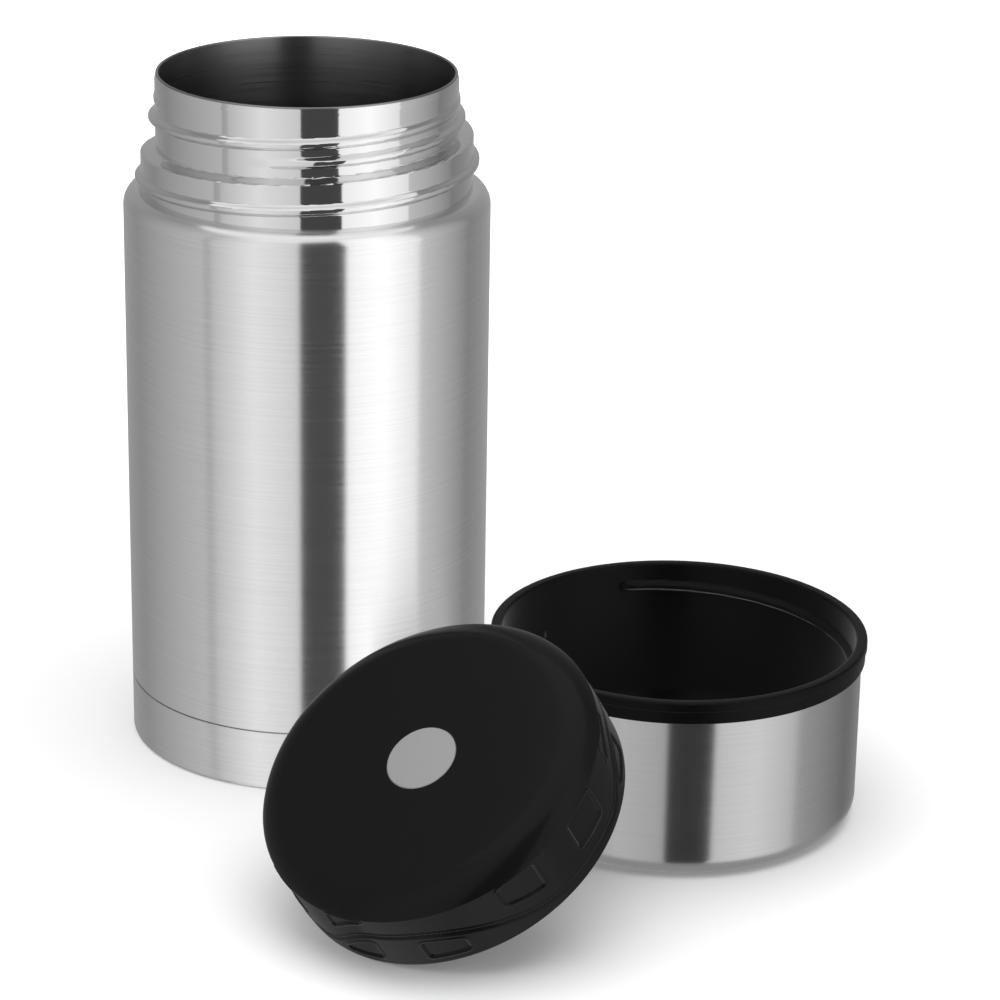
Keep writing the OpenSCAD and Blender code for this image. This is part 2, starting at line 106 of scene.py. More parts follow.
# The sky looks white, but lights matt things less than a white sky would.
sky_light = 0.6
world = bpy.data.worlds.new("studio")
bpy.context.scene.world = world
world.use_nodes = True
sky = world.node_tree
sky.nodes.clear()
ray = sky.nodes.new("ShaderNodeLightPath")
seen = value(sky, "MAXIMUM", ray.outputs["Is Camera Ray"], ray.outputs["Is Glossy Ray"])
seen = value(sky, "MAXIMUM", seen, ray.outputs["Is Transmission Ray"])
background = sky.nodes.new("ShaderNodeBackground")
background.inputs["Color"].default_value = (1, 1, 1, 1)
sky.links.new(value(sky, "MULTIPLY_ADD", seen, 1 - sky_light, sky_light), background.inputs["Strength"])
sky.links.new(background.outputs[0], sky.nodes.new("ShaderNodeOutputWorld").inputs["Surface"])

# The floor glows more with its distance from the set, so that it fades into the white.
floor_size = 6
paper_white = 0.74
glow_from, glow_to = 0.16, 0.9
near_glow, far_glow = 0.1, 0.95
bpy.ops.mesh.primitive_plane_add(size=floor_size)
floor_sheet = bpy.context.object
floor_sheet.name = "floor"
material, tree, output = new_material("white_sweep")
paper = tree.nodes.new("ShaderNodeBsdfDiffuse")
paper.inputs["Color"].default_value = (*[paper_white] * 3, 1)
where = tree.nodes.new("ShaderNodeTexCoord")
away = tree.nodes.new("ShaderNodeVectorMath")
away.operation = "LENGTH"
tree.links.new(where.outputs["Object"], away.inputs[0])
far = tree.nodes.new("ShaderNodeMapRange")
feed(tree, far, (away.outputs["Value"], glow_from, glow_to, near_glow, far_glow))
glow = tree.nodes.new("ShaderNodeEmission")
tree.links.new(far.outputs[0], glow.inputs["Strength"])
both = tree.nodes.new("ShaderNodeAddShader")
tree.links.new(paper.outputs[0], both.inputs[0])
tree.links.new(glow.outputs[0], both.inputs[1])
tree.links.new(both.outputs[0], output.inputs["Surface"])
floor_sheet.data.materials.append(material)
floor_sheet.visible_glossy = False


def soft_light(name, place, target, size, power):
    """A rectangular lamp that faces its target and doesn't show in reflections."""
    lamp = bpy.data.objects.new(name, bpy.data.lights.new(name, "AREA"))
    lamp.data.shape = "RECTANGLE"
    lamp.data.size, lamp.data.size_y = size
    lamp.data.energy = power
    facing = (Vector(target) - Vector(place)).to_track_quat("-Z", "Y")
    lamp.matrix_world = Matrix.Translation(place) @ facing.to_matrix().to_4x4()
    lamp.visible_glossy = False
    bpy.context.scene.collection.objects.link(lamp)


soft_light("overhead", (0.1, -0.1, 1.4), (0.05, -0.05, 0), (1.6, 1.6), 20)
soft_light("left_side", (-1.2, -0.6, 0.9), (0.05, -0.05, 0.05), (0.8, 1.2), 6)


def only_reflected(thing):
    """Hides a thing from everything but reflections."""
    for kind in ("camera", "diffuse", "transmission", "volume_scatter", "shadow"):
        setattr(thing, "visible_" + kind, False)


def card(name, start, end):
    """A curved board round the set; its brightness changes evenly from one end to the other.

    An end is a bearing (0 is the front, 90 the right), a distance and a brightness.
    """
    low, high = -2.0, 1.4
    steps = 12
    mesh = bpy.data.meshes.new(name)
    columns = [[a + (b - a) * i / steps for a, b in zip(start, end)] for i in range(steps + 1)]
    corners = [(distance * sin(radians(bearing)), -distance * cos(radians(bearing)), z)
        for bearing, distance, _ in columns for z in (low, high)]
    mesh.from_pydata(corners, [], [(2 * i, 2 * i + 2, 2 * i + 3, 2 * i + 1) for i in range(steps)])
    shine = mesh.attributes.new("brightness", "FLOAT", "POINT")
    for i, (_, _, brightness) in enumerate(columns):
        shine.data[2 * i].value = shine.data[2 * i + 1].value = brightness
    board = bpy.data.objects.new(name, mesh)
    material, tree, output = new_material(name)
    reading = tree.nodes.new("ShaderNodeAttribute")
    reading.attribute_name = "brightness"
    glow = tree.nodes.new("ShaderNodeEmission")
    tree.links.new(reading.outputs["Fac"], glow.inputs["Strength"])
    tree.links.new(glow.outputs[0], output.inputs["Surface"])
    mesh.materials.append(material)
    only_reflected(board)
    bpy.context.scene.collection.objects.link(board)


card("rear_left_board", (-180, 0.9, 0.4), (-125, 0.9, 0.3))
card("left_board", (-125, 0.9, 0.3), (-62, 0.9, 0.58))
card("left_edge", (-62, 0.9, 0.42), (-57, 0.9, 0.5))
card("front_left_board", (-57, 0.9, 0.6), (-30, 0.9, 0.95))
card("front_board", (-30, 0.9, 0.95), (-1.5, 1.1, 0.76))
card("dark_board", (-1.5, 1.1, 0.07), (26, 0.91, 0.07))
card("bright_board", (26.2, 0.9, 1.12), (50, 0.9, 1.32))
card("bright_right_board", (50, 0.9, 1.32), (75, 0.9, 0.98))
card("right_board", (75, 0.9, 0.66), (118, 0.9, 0.29))
card("rear_right_board", (118, 0.9, 0.25), (180, 0.9, 0.42))


# ---- Jar wall: one deep-drawn steel shell, brushed round its body, with a polished neck ----
# The two threads for the stopper, the ledge and the single thread for the cup are rolled into
# the neck's sheet. The shell is welded to the inner vessel at the lip.
MM = 0.001
weld_distance = 2e-5
lip_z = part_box("inner_vessel")[1].z / MM
body_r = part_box("outer_shell")[1].x / MM
neck_r = 43.1
neck_low_r = 47.4
neck_top = lip_z - 0.45
lip_draw = 0.35
lip_draw_h = 1.8
step_z = lip_z - 23.5
shoulder_top = lip_z - 33.2
shoulder_bend = body_r - neck_low_r
shoulder_z = shoulder_top - shoulder_bend
seam_top = 18.15
seam_r = body_r - 0.7
seam_edge = 0.12
wall_foot = 5
steel_t = 0.5
neck_t = 0.55
lead = 10.4
jar_turns = 320
neck_rows = 150
ledge_from = radians(152)
ledge_turn = radians(260)


def bend(r, z, radius, start, end, steps=8):
    """Points along an arc round (r, z), from one angle to another in degrees."""
    angles = [radians(start + (end - start) * i / steps) for i in range(steps + 1)]
    return [(r + radius * cos(a), z + radius * sin(a)) for a in angles]


def lathe(outline, turns=288, place=Matrix(), closed=True):
    """A bmesh turned from an outline that runs anticlockwise: up its outside and down its inside."""
    shape = bmesh.new()
    on_axis = 1e-6
    rings = []
    for r, z in outline:
        angles = [tau * i / turns for i in range(turns if r > on_axis else 1)]
        rings.append([shape.verts.new(place @ Vector((r * cos(a) * MM, r * sin(a) * MM, z * MM)))
            for a in angles])
    pairs = list(zip(rings, rings[1:] + rings[:1]))
    for low, high in pairs if closed else pairs[:-1]:
        for i in range(turns):
            j = (i + 1) % turns
            corners = [low[i % len(low)], low[j % len(low)], high[j % len(high)], high[i % len(high)]]
            corners = list(dict.fromkeys(corners))
            if len(corners) > 2:
                shape.faces.new(corners)
    return shape


def finish_mesh(name, shape, materials, crease=32):
    """An object from a bmesh, smooth but for edges sharper than crease degrees."""
    mesh = bpy.data.meshes.new(name)
    shape.to_mesh(mesh)
    shape.free()
    mesh.shade_smooth()
    mesh.set_sharp_from_angle(angle=radians(crease))
    for material in materials:
        mesh.materials.append(material)
    piece = bpy.data.objects.new(name, mesh)
    bpy.context.scene.collection.objects.link(piece)
    return piece


def tint(tree, surface, color, pattern, amount):
    """Makes a surface's colour lighter and darker by a pattern, at most by this share of it."""
    tone = tree.nodes.new("ShaderNodeMapRange")
    feed(tree, tone, (pattern, 0, 1, 1 - amount, 1 + amount))
    shade = tree.nodes.new("ShaderNodeVectorMath")
    shade.operation = "SCALE"
    shade.inputs[0].default_value = color
    tree.links.new(tone.outputs[0], shade.inputs["Scale"])
    tree.links.new(shade.outputs[0], surface.inputs["Base Color"])


def emboss(tree, surface, pattern, strength, distance):
    """Raises a surface finely by a pattern."""
    bump = tree.nodes.new("ShaderNodeBump")
    bump.inputs["Strength"].default_value = strength
    bump.inputs["Distance"].default_value = distance
    tree.links.new(pattern, bump.inputs["Height"])
    tree.links.new(bump.outputs[0], surface.inputs["Normal"])


def steel(name, color, roughness, stretch, grain, depth, center=(0, 0, 0)):
    """Steel brushed round its axis: fine level lines in its colour, gloss and surface."""
    material, tree, output = new_material(name)
    metal = tree.nodes.new("ShaderNodeBsdfPrincipled")
    metal.inputs["Metallic"].default_value = 1
    metal.inputs["Anisotropic"].default_value = stretch
    metal.inputs["Anisotropic Rotation"].default_value = 0.25
    where = tree.nodes.new("ShaderNodeTexCoord")
    place = tree.nodes.new("ShaderNodeMapping")
    place.inputs["Location"].default_value = [-c for c in center]
    place.inputs["Scale"].default_value = (30, 30, 3000)
    tree.links.new(where.outputs["Object"], place.inputs["Vector"])
    lines = tree.nodes.new("ShaderNodeTexNoise")
    lines.inputs["Scale"].default_value = 1
    lines.inputs["Detail"].default_value = 3
    tree.links.new(place.outputs[0], lines.inputs["Vector"])
    tint(tree, metal, [color] * 3, lines.outputs["Fac"], grain)
    tree.links.new(value(tree, "MULTIPLY_ADD", lines.outputs["Fac"], roughness * 0.5, roughness * 0.75),
        metal.inputs["Roughness"])
    tangent = tree.nodes.new("ShaderNodeTangent")
    tangent.direction_type = "RADIAL"
    tangent.axis = "Z"
    tree.links.new(tangent.outputs[0], metal.inputs["Tangent"])
    emboss(tree, metal, lines.outputs["Fac"], depth, 0.00002)
    tree.links.new(metal.outputs[0], output.inputs["Surface"])
    return material


def rule_tree(name, sizes):
    """A geometry tree with a number input for each size; returns it, those inputs and its output."""
    tree = bpy.data.node_groups.new(name, "GeometryNodeTree")
    tree.interface.new_socket("Geometry", in_out="OUTPUT", socket_type="NodeSocketGeometry")
    for label in sizes:
        tree.interface.new_socket(label, in_out="INPUT", socket_type="NodeSocketFloat")
    return tree, tree.nodes.new("NodeGroupInput").outputs, tree.nodes.new("NodeGroupOutput")


def grown(name, tree, sizes):
    """The plain mesh that a geometry tree makes with these sizes."""
    host = bpy.data.objects.new(name, bpy.data.meshes.new(name))
    bpy.context.scene.collection.objects.link(host)
    modifier = host.modifiers.new("rule", "NODES")
    modifier.node_group = tree
    for item in tree.interface.items_tree:
        if item.in_out == "INPUT":
            modifier[item.identifier] = float(sizes[item.name])
    evaluated = host.evaluated_get(bpy.context.evaluated_depsgraph_get())
    mesh = bpy.data.meshes.new_from_object(evaluated)
    bpy.data.objects.remove(host)
    return mesh


def smooth_step(tree, amount, low, high):
    """0 up to low and 1 from high on, with an eased slope between them."""
    node = tree.nodes.new("ShaderNodeMapRange")
    node.interpolation_type = "SMOOTHSTEP"
    feed(tree, node, (amount, low, high))
    return node.outputs[0]


def thread(tree, angle, height, lead, start, low, turn, fade_in, fade_out, width, tall):
    """Height of one rolled thread over the wall: it starts at a bearing and a height and climbs."""
    along = value(tree, "WRAP", value(tree, "SUBTRACT", angle, radians(start)), tau, 0)
    middle = value(tree, "MULTIPLY_ADD", along, value(tree, "DIVIDE", lead, tau), low)
    off = value(tree, "ABSOLUTE", value(tree, "SUBTRACT", height, middle))
    crest = value(tree, "SUBTRACT", 1, smooth_step(tree, value(tree, "DIVIDE", off, width), 0.1, 0.5))
    begin = smooth_step(tree, along, 0.0, radians(fade_in))
    end = value(tree, "SUBTRACT", 1, smooth_step(tree, along, radians(turn - fade_out), radians(turn)))
    return value(tree, "MULTIPLY", value(tree, "MULTIPLY", crest, tall), value(tree, "MULTIPLY", begin, end))


def wall_grid(tree, columns, rows, low, high):
    """A grid that wrap_grid bends round the Z axis: returns it with its angle and height fields."""
    grid = tree.nodes.new("GeometryNodeMeshGrid")
    grid.inputs["Vertices X"].default_value = columns + 1
    grid.inputs["Vertices Y"].default_value = rows
    spot = tree.nodes.new("ShaderNodeSeparateXYZ")
    tree.links.new(tree.nodes.new("GeometryNodeInputPosition").outputs[0], spot.inputs[0])
    angle = value(tree, "MULTIPLY", value(tree, "ADD", spot.outputs[0], 0.5), tau)
    share = value(tree, "ADD", spot.outputs[1], 0.5)
    height = value(tree, "MULTIPLY_ADD", share, value(tree, "SUBTRACT", high, low), low)
    return grid.outputs["Mesh"], angle, height


def round_place(tree, angle, radius, height):
    """The place at an angle, a radius and a height round the Z axis, turned from mm into metres."""
    place = tree.nodes.new("ShaderNodeCombineXYZ")
    across = value(tree, "MULTIPLY", radius, MM)
    feed(tree, place, (value(tree, "MULTIPLY", across, value(tree, "COSINE", angle)),
        value(tree, "MULTIPLY", across, value(tree, "SINE", angle)), value(tree, "MULTIPLY", height, MM)))
    return place.outputs[0]


def chain(tree, *nodes):
    """Links each node's first output to the next node's first input."""
    for one, after in zip(nodes, nodes[1:]):
        tree.links.new(one.outputs[0], after.inputs[0])


def hand_out(tree, last, material, output):
    """Ends a tree: what its last node makes becomes real and gets its material."""
    paint = tree.nodes.new("GeometryNodeSetMaterial")
    paint.inputs["Material"].default_value = material
    chain(tree, last, tree.nodes.new("GeometryNodeRealizeInstances"), paint, output)


def wrap_grid(tree, mesh, angle, radius, height, material, output):
    """Bends the grid to its radius, closes its seam and hands it out in its material."""
    move = tree.nodes.new("GeometryNodeSetPosition")
    tree.links.new(mesh, move.inputs["Geometry"])
    tree.links.new(round_place(tree, angle, radius, height), move.inputs["Position"])
    weld = tree.nodes.new("GeometryNodeMergeByDistance")
    weld.inputs["Distance"].default_value = 1e-6
    chain(tree, move, weld)
    hand_out(tree, weld, material, output)


body_steel = steel("brushed_steel", 0.8, 0.215, 0.92, 0.09, 0.06)
neck_steel = steel("polished_steel", 0.74, 0.07, 0.3, 0.02, 0.04)

NECK = {"Low": shoulder_top, "High": neck_top, "Lead": lead, "Neck radius": neck_r,
    "Lower neck radius": neck_low_r, "Step height": step_z, "Thread width": 3.6, "Stopper thread": 1.9,
    "Cup thread": 1.7, "Stopper thread start": lip_z - 16.08, "Cup thread start": lip_z - 32.42}
tree, size, output = rule_tree("rolled_neck", NECK)
mesh, angle, height = wall_grid(tree, jar_turns, neck_rows, size["Low"], size["High"])
climb = value(tree, "WRAP", value(tree, "SUBTRACT", angle, ledge_from), tau, 0)
ledge_on = value(tree, "SUBTRACT", 1, smooth_step(tree, climb, ledge_turn - 0.2, ledge_turn))
ledge = value(tree, "MULTIPLY", climb, value(tree, "DIVIDE", size["Lead"], tau))
ledge = value(tree, "MULTIPLY", ledge, ledge_on)
edge = value(tree, "ADD", size["Step height"], ledge)
above = smooth_step(tree, value(tree, "SUBTRACT", height, edge), -0.6, 0.5)
step_depth = value(tree, "SUBTRACT", size["Neck radius"], size["Lower neck radius"])
radius = value(tree, "MULTIPLY_ADD", above, step_depth, size["Lower neck radius"])
for start in (70, 250):
    stopper_thread = thread(tree, angle, height, size["Lead"], start, size["Stopper thread start"],
        turn=330, fade_in=40, fade_out=130, width=size["Thread width"], tall=size["Stopper thread"])
    radius = value(tree, "ADD", radius, stopper_thread)
cup_thread = thread(tree, angle, height, size["Lead"], 110, size["Cup thread start"],
    turn=290, fade_in=30, fade_out=30, width=size["Thread width"], tall=size["Cup thread"])
clear_of_shoulder = smooth_step(tree, value(tree, "SUBTRACT", height, size["Low"]), 0.0, 0.8)
radius = value(tree, "MULTIPLY_ADD", cup_thread, clear_of_shoulder, radius)
lip_in = smooth_step(tree, height, value(tree, "SUBTRACT", size["High"], lip_draw_h), size["High"])
radius = value(tree, "MULTIPLY_ADD", lip_in, -lip_draw, radius)
wrap_grid(tree, mesh, angle, radius, height, neck_steel, output)

jar_outline = [(neck_r - lip_draw, neck_top), (neck_r - neck_t, neck_top), (neck_r - neck_t, step_z),
    (neck_low_r - neck_t, step_z - 1.2), (neck_low_r - neck_t, shoulder_top - steel_t)]
jar_outline += bend(neck_low_r, shoulder_z, shoulder_bend - steel_t, 90, 0, 12)
jar_outline += [(body_r - steel_t, seam_top + 1.6), (seam_r - steel_t, seam_top + 0.8),
    (seam_r - steel_t, wall_foot), (seam_r, wall_foot), (seam_r, seam_top),
    (body_r - seam_edge, seam_top), (body_r, seam_top + seam_edge)]
jar_outline += bend(neck_low_r, shoulder_z, shoulder_bend, 0, 90, 18)
jar = lathe(jar_outline, turns=jar_turns, closed=False)
body_faces = len(jar.faces)
jar.from_mesh(grown("neck", tree, NECK))
jar.faces.ensure_lookup_table()
for face in jar.faces[body_faces:]:
    face.material_index = 1
bmesh.ops.remove_doubles(jar, verts=jar.verts, dist=weld_distance)
jar_wall = finish_mesh("jar_wall", jar, [body_steel, neck_steel])
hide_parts("outer_shell")
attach(jar_wall, "jar")


# ---- Base shell: shallow pressed steel cover under the seam ----
# It is brushed like the body and pressed on over the foot of the jar's wall. A narrow dark seam
# stays between the two.
base_top = 17.7
base_round = 1.3
base_edge = 0.1
base_outline = [(0, 0)] + bend(body_r - base_round, base_round, base_round, -90, 0)
base_outline += [(body_r, base_top - base_edge), (body_r - base_edge, base_top), (body_r - steel_t, base_top)]
base_outline += bend(body_r - base_round, base_round, base_round - steel_t, 0, -90) + [(0, steel_t)]
base = finish_mesh("base_cover", lathe(base_outline, turns=jar_turns), [body_steel])
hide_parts("base_shell")
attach(base, "jar")


# ---- Inner vessel: drawn steel wall with a rolled lip, and its pressed bottom ----
# It is brushed inside, and its steel is painted dark as painted shade, as little of the room shows in it. The
# lip is welded to the jar's wall, and the bottom is welded into the vessel.
mouth_r = 41.9
vessel_r = 46.5
vessel_neck = lip_z - 37
vessel_slope = vessel_neck - 11
floor_z = 14
lip_round = 0.45
round_r = 5.5
vessel_steel = steel("vessel_steel", 0.28, 0.3, 0.8, 0.12, 0.3)
outline = bend(mouth_r + 0.42, lip_z - lip_round, lip_round, 0, 180)
outline += [(mouth_r, vessel_neck), (vessel_r, vessel_slope)]
outline += bend(vessel_r - round_r, floor_z + round_r, round_r, 0, -90, 10)
outline += [(0, floor_z), (0, floor_z - steel_t)]
outline += bend(vessel_r - round_r, floor_z + round_r, round_r + steel_t, -90, 0, 10)
outline += [(vessel_r + steel_t, vessel_slope), (mouth_r + steel_t, vessel_neck),
    (mouth_r + steel_t, lip_z - 1)]
vessel = finish_mesh("vessel", lathe(outline), [vessel_steel])
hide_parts("inner_vessel", "inner_bottom")
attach(vessel, "jar")


# ---- Parts inside the vacuum: copper foil, bottom plate, solder bead and getter ----
# The foil is wrapped round the vessel, the plate closes the vacuum under it, and the bead plugs
# the plate's hole. They don't show on a whole jar; their CAD shapes stay, each with its finish.
def dress(node, material):
    """Gives a CAD node its material."""
    slots = frame["nodes"][node].data.materials
    slots.clear()
    slots.append(material)


def matt(name, color, roughness, grain, size, depth, spec=0.5, coat=0):
    """Moulded or cast stuff with a fine even texture; coat is a thin gloss over it."""
    material, tree, output = new_material(name)
    body = tree.nodes.new("ShaderNodeBsdfPrincipled")
    body.inputs["Specular IOR Level"].default_value = spec
    body.inputs["Coat Weight"].default_value = coat
    body.inputs["Coat Roughness"].default_value = 0.14
    where = tree.nodes.new("ShaderNodeTexCoord")
    speck = tree.nodes.new("ShaderNodeTexNoise")
    speck.inputs["Scale"].default_value = size
    speck.inputs["Detail"].default_value = 4
    tree.links.new(where.outputs["Object"], speck.inputs["Vector"])
    tint(tree, body, color, speck.outputs["Fac"], grain)
    tree.links.new(value(tree, "MULTIPLY_ADD", speck.outputs["Fac"], 0.12, roughness - 0.06),
        body.inputs["Roughness"])
    emboss(tree, body, speck.outputs["Fac"], depth, 0.00004)
    tree.links.new(body.outputs[0], output.inputs["Surface"])
    return material


copper = steel("copper_foil", 0.7, 0.3, 0.2, 0.1, 0.3)
dress("heat_shield", copper)
dress("vacuum_bottom", vessel_steel)
getter_metal = matt("getter_metal", (0.4, 0.4, 0.42), 0.5, 0.1, 900, 0.4)
dress("getter", getter_metal)
dress("seal_bead", getter_metal)


# ---- Cup: drawn steel shell with a dished foot ----
# It is brushed like the jar, and its foot is rounded up from the table. The photograph shows
# neither the cup nor the stopper in the jar's wall, so both are left out of reflections.
low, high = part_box("cup_shell")
cup_at = Matrix.Translation(((low.x + high.x) / 2, (low.y + high.y) / 2, 0))
cup_center = cup_at.translation
cup_r = (high.x - low.x) / 2 / MM
shell_top = high.z / MM
cup_bend = 6.4
foot_r = 40.4
dish = 0.8
# The cup's steel is painted darker than the jar's: painted shade for the darker surroundings that its wall
# reflects.
cup_steel_painted_shade = steel("brushed_steel_cup_painted_shade", 0.45, 0.215, 0.92, 0.09, 0.06, cup_center)
outline = [(0, dish), (foot_r, dish), (foot_r + 0.25, 0.15), (foot_r + 0.6, 0)]
outline += bend(cup_r - cup_bend, cup_bend, cup_bend, -90, 0, 14)
outline += [(cup_r, shell_top), (cup_r - steel_t, shell_top)]
outline += bend(cup_r - cup_bend, cup_bend, cup_bend - steel_t, 0, -90, 14)
outline += [(foot_r + 0.5, dish + steel_t), (0, dish + steel_t)]
cup = finish_mesh("cup_wall", lathe(outline, turns=jar_turns, place=cup_at), [cup_steel_painted_shade])
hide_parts("cup_shell")
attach(cup, "cup")
cup.visible_glossy = False

# A grey disc under the cup, seen in reflections only, stands for the shaded floor there.
shade_r = cup_r + 5
shade_light = 0.5
bpy.ops.mesh.primitive_circle_add(vertices=96, radius=shade_r * MM, fill_type="NGON",
    location=cup_center - Vector((0, 0, MM)))
shaded_floor = bpy.context.object
shaded_floor.name = "shaded_floor"
material, tree, output = new_material("shaded_floor")
glow = tree.nodes.new("ShaderNodeEmission")
glow.inputs["Strength"].default_value = shade_light
tree.links.new(glow.outputs[0], output.inputs["Surface"])
shaded_floor.data.materials.append(material)
only_reflected(shaded_floor)


# ---- Cup liner: black moulded liner with a rolled lip over the steel ----
# It is pressed into the shell. Its wall draws in a little towards the rounded bottom, and one
# thread under its lip takes the thread on the jar's lower neck.
cup_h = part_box("cup_liner")[1].z / MM
liner_r = 50.0
liner_t = 1.1
draft = 1.5
rim_r = 53.2
lip_h = 2.4
rim_round = 0.8
liner_low = 4
liner_bend = 12
bend_z = 14.9
grid_low = 16.0
wall_top = 47.2
wall_h = 32.3
liner_rows = 110
thread_turn = 330
low_r = liner_r - draft
black_liner = matt("black_liner", (0.0025, 0.0025, 0.0026), 0.32, 0.15, 600, 0.1, 0.08)
LINER = {"Low": grid_low, "High": cup_h - rim_round, "Lead": lead, "Wall radius": liner_r, "Draft": draft,
    "Thread width": 3.4, "Thread height": 1.8, "Thread start": cup_h - 6.4 - lead * thread_turn / 360}
tree, size, output = rule_tree("liner_wall", LINER)
mesh, angle, height = wall_grid(tree, 288, liner_rows, size["High"], size["Low"])
up_wall = value(tree, "SUBTRACT", value(tree, "MINIMUM", height, wall_top), bend_z)
drawn = value(tree, "DIVIDE", up_wall, wall_h)
wall = value(tree, "MULTIPLY_ADD", value(tree, "SUBTRACT", drawn, 1), size["Draft"], size["Wall radius"])
ridge = thread(tree, angle, height, size["Lead"], -222, size["Thread start"],
    turn=thread_turn, fade_in=4, fade_out=4, width=size["Thread width"], tall=size["Thread height"])
wrap_grid(tree, mesh, angle, value(tree, "SUBTRACT", wall, ridge), height, black_liner, output)
inside = grown("liner_inside", tree, LINER)
inside.transform(cup_at)
grid_low_r = liner_r - draft * (1 - (grid_low - bend_z) / wall_h)
outline = [(grid_low_r, grid_low)]
outline += bend(low_r - liner_bend + liner_t, bend_z, liner_bend - liner_t, 0, -90, 14)
outline += [(0, liner_low), (0, liner_low - liner_t)]
outline += bend(low_r - liner_bend + liner_t, bend_z, liner_bend, -90, 0, 14)
outline += [(liner_r + liner_t, wall_top), (liner_r + liner_t, cup_h - lip_h), (rim_r, cup_h - lip_h)]
outline += bend(rim_r - rim_round, cup_h - rim_round, rim_round, 0, 90, 6)
outline += bend(liner_r + rim_round, cup_h - rim_round, rim_round, 90, 180, 6)
liner = lathe(outline, place=cup_at, closed=False)
liner.from_mesh(inside)
bmesh.ops.remove_doubles(liner, verts=liner.verts, dist=weld_distance)
liner = finish_mesh("cup_lining", liner, [black_liner])
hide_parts("cup_liner")
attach(liner, "cup")
liner.visible_glossy = False


# ---- Cup collar: black moulded ring under the liner's lip ----
# It is pushed on over the upper edge of the cup's steel and covers it.
play = 0.05
collar_top = cup_h - lip_h - play
collar_low = cup_h - 6.2
collar_r = rim_r - 0.4
collar_in = cup_r + play
liner_side = liner_r + liner_t + play
outline = [(collar_in, collar_low), (collar_r - 0.15, collar_low), (collar_r, collar_low + 0.15),
    (collar_r, collar_top - 0.3), (collar_r - 0.2, collar_top - 0.3), (collar_r - 0.2, collar_top),
    (liner_side, collar_top), (liner_side, shell_top + play), (collar_in, shell_top + play)]
collar = finish_mesh("cup_band", lathe(outline, place=cup_at), [black_liner])
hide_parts("cup_collar")
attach(collar, "cup")
collar.visible_glossy = False


# ---- Stopper: moulded black cap, matt on top, with shallow pockets round its skirt ----
# A fine line goes round the skirt in three waves, with pockets above its low stretches and
# below its high ones. The stopper leans with its raised edge over the cup's rim. Its own frame
# has its axis along Z and its lower edge at 0.
axis = Vector(next(j["axis"] for j in frame["joints"] if j["name"] == "stopper_lift")).normalized()
lean = acos(axis.z)
toward = atan2(-axis.y, -axis.x)
stopper_r = 47.9
edge_round = 0.8
edge_r = stopper_r - edge_round
lean_gap = 0.4
contact_rise = radians(64)
contact = rim_round + edge_round + lean_gap
reach = rim_r - rim_round + contact * cos(contact_rise) + 2 * edge_r * cos(lean)
stopper_at = (cup_at @ Matrix.Rotation(toward, 4, "Z") @ Matrix.Translation((-reach * MM, 0, edge_round * MM))
    @ Matrix.Rotation(-lean, 4, "Y") @ Matrix.Translation((edge_r * MM, 0, -edge_round * MM)))
stopper_h = 26
crown_h = 5.4
crown_w = 9
crown_bend = (crown_w ** 2 + crown_h ** 2) / (2 * crown_h)
crown_from = degrees(asin(1 - crown_h / crown_bend))
skirt_top = stopper_h - crown_h
skirt_in = 45.6
ceiling = 20
button_r = 9.85
well_r = button_r + 0.1
well_out = well_r + 1.6
well_floor = 18.2
well_under = 17
stem_hole = 1.9
top_in = 23.8
snap_r = 39.95
snap_in = 38.35
snap_low = 14
cap_turns = 720
skirt_rows = 80
black_cap = matt("black_cap", (0.004, 0.004, 0.0042), 0.36, 0.25, 2600, 0.4, 0.06, 0.12)
SKIRT = {"Low": edge_round, "High": skirt_top, "Radius": stopper_r,
    "Waves": 3, "Wave start": 168, "Wave low": 4.3, "Wave height": 9.7,
    "Line height": 0.2, "Groove depth": 0.4,
    "Pocket width": 11.7, "Pocket depth": 0.5, "Rim height": 0.2, "Pocket shift": 19,
    "Pocket top": skirt_top - 0.9, "Pocket bottom": 3.2, "Over the line": 5.2, "Under the line": 3.7}
tree, size, output = rule_tree("skirt", SKIRT)
mesh, angle, height = wall_grid(tree, cap_turns, skirt_rows, size["Low"], size["High"])
period = value(tree, "DIVIDE", tau, size["Waves"])
start = value(tree, "RADIANS", size["Wave start"])
share = value(tree, "DIVIDE", value(tree, "WRAP", value(tree, "SUBTRACT", angle, start), period, 0), period)
rise = smooth_step(tree, share, 0.0, 0.22)
fall = value(tree, "SUBTRACT", 1, smooth_step(tree, share, 0.32, 0.77))
line = value(tree, "MULTIPLY_ADD", value(tree, "MULTIPLY", rise, fall), size["Wave height"], size["Wave low"])
under = value(tree, "SUBTRACT", line, height)
off_crest = value(tree, "ABSOLUTE", value(tree, "ADD", under, 0.3))
crest = value(tree, "SUBTRACT", 1, smooth_step(tree, off_crest, 0.1, 0.5))
groove = value(tree, "MULTIPLY", smooth_step(tree, under, 0.0, 0.3),
    value(tree, "SUBTRACT", 1, smooth_step(tree, under, 0.6, 2.0)))
pitch = value(tree, "MULTIPLY", period, 0.25)
shifted = value(tree, "ADD", start, value(tree, "RADIANS", size["Pocket shift"]))
turned = value(tree, "SUBTRACT", angle, shifted)
index = value(tree, "FLOOR", value(tree, "ADD", value(tree, "DIVIDE", turned, pitch), 0.5))
place_in_wave = value(tree, "FLOORED_MODULO", index, 4)
off = value(tree, "SUBTRACT", turned, value(tree, "MULTIPLY", index, pitch))
off = value(tree, "MULTIPLY", off, size["Radius"])
corner = 1.2
past_x = value(tree, "MAXIMUM", value(tree, "SUBTRACT", value(tree, "ABSOLUTE", off),
    value(tree, "MULTIPLY_ADD", size["Pocket width"], 0.5, -corner)), 0)


